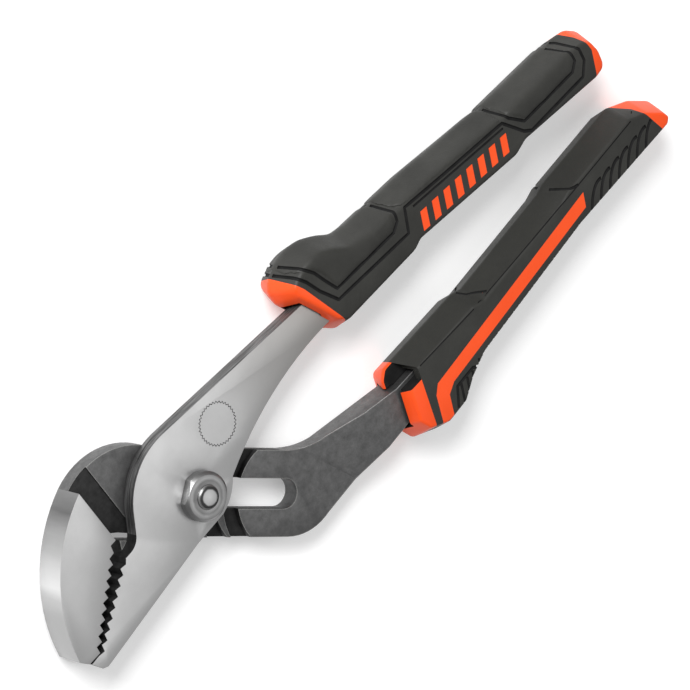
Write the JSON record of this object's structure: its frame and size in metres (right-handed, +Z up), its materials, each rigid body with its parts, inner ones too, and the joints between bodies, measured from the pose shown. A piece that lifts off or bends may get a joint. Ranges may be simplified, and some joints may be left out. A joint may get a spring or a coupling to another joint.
{
  "type": "tongue and groove pliers",
  "caption": "Slip-joint pliers with serrated jaws, a tongue lever that slides and swings on a bolt in a slotted lever, and two-colour grips.",
  "frame": {"origin": "centre of the closed tool's outline, on the surface it lies on", "axes": "+X from the jaws to the handle ends, +Y towards the tongue lever's handle, +Z up, along the pivot bolt towards its nut"},
  "size_m": [0.2568, 0.078, 0.0179],
  "materials": {
    "forged_steel": "forged dark steel with ground jaw faces",
    "ground_steel": "satin ground steel with dark forged edges",
    "plated_steel": "dull plated steel",
    "orange_plastic": "matte orange",
    "black_rubber": "soft black-grey moulding with a slight sheen"
  },
  "bodies": {
    "slotted_lever": {"slotted_lever": "forged_steel", "lower_grip_sleeve": "orange_plastic", "lower_grip_cover": "black_rubber"},
    "pivot_bolt": {"pivot_bolt": "plated_steel"},
    "pivot_nut": {"pivot_nut": "plated_steel"},
    "tongue_lever": {"tongue_lever": "ground_steel", "upper_grip_sleeve": "orange_plastic", "upper_grip_cover": "black_rubber"}
  },
  "joints": [
    {"name": "setting_slide", "type": "slide", "parent": "slotted_lever", "child": "pivot_bolt", "axis": [0.699, -0.7151, 0], "range_m": [0, 0.032]},
    {"name": "setting_turn", "type": "hinge", "parent": "pivot_bolt", "child": "pivot_nut", "pos_m": [-0.0714, 0.009, 0.012], "axis": [0, 0, 1], "range_deg": [0, 8.1]},
    {"name": "jaw_pivot", "type": "hinge", "parent": "pivot_nut", "child": "tongue_lever", "pos_m": [-0.0714, 0.009, 0.012], "axis": [0, 0, 1], "range_deg": [0, 60]}
  ],
  "couplings": [
    {"joint": "setting_turn", "follows": "setting_slide", "rad_per_m": 4.3633}
  ]
}
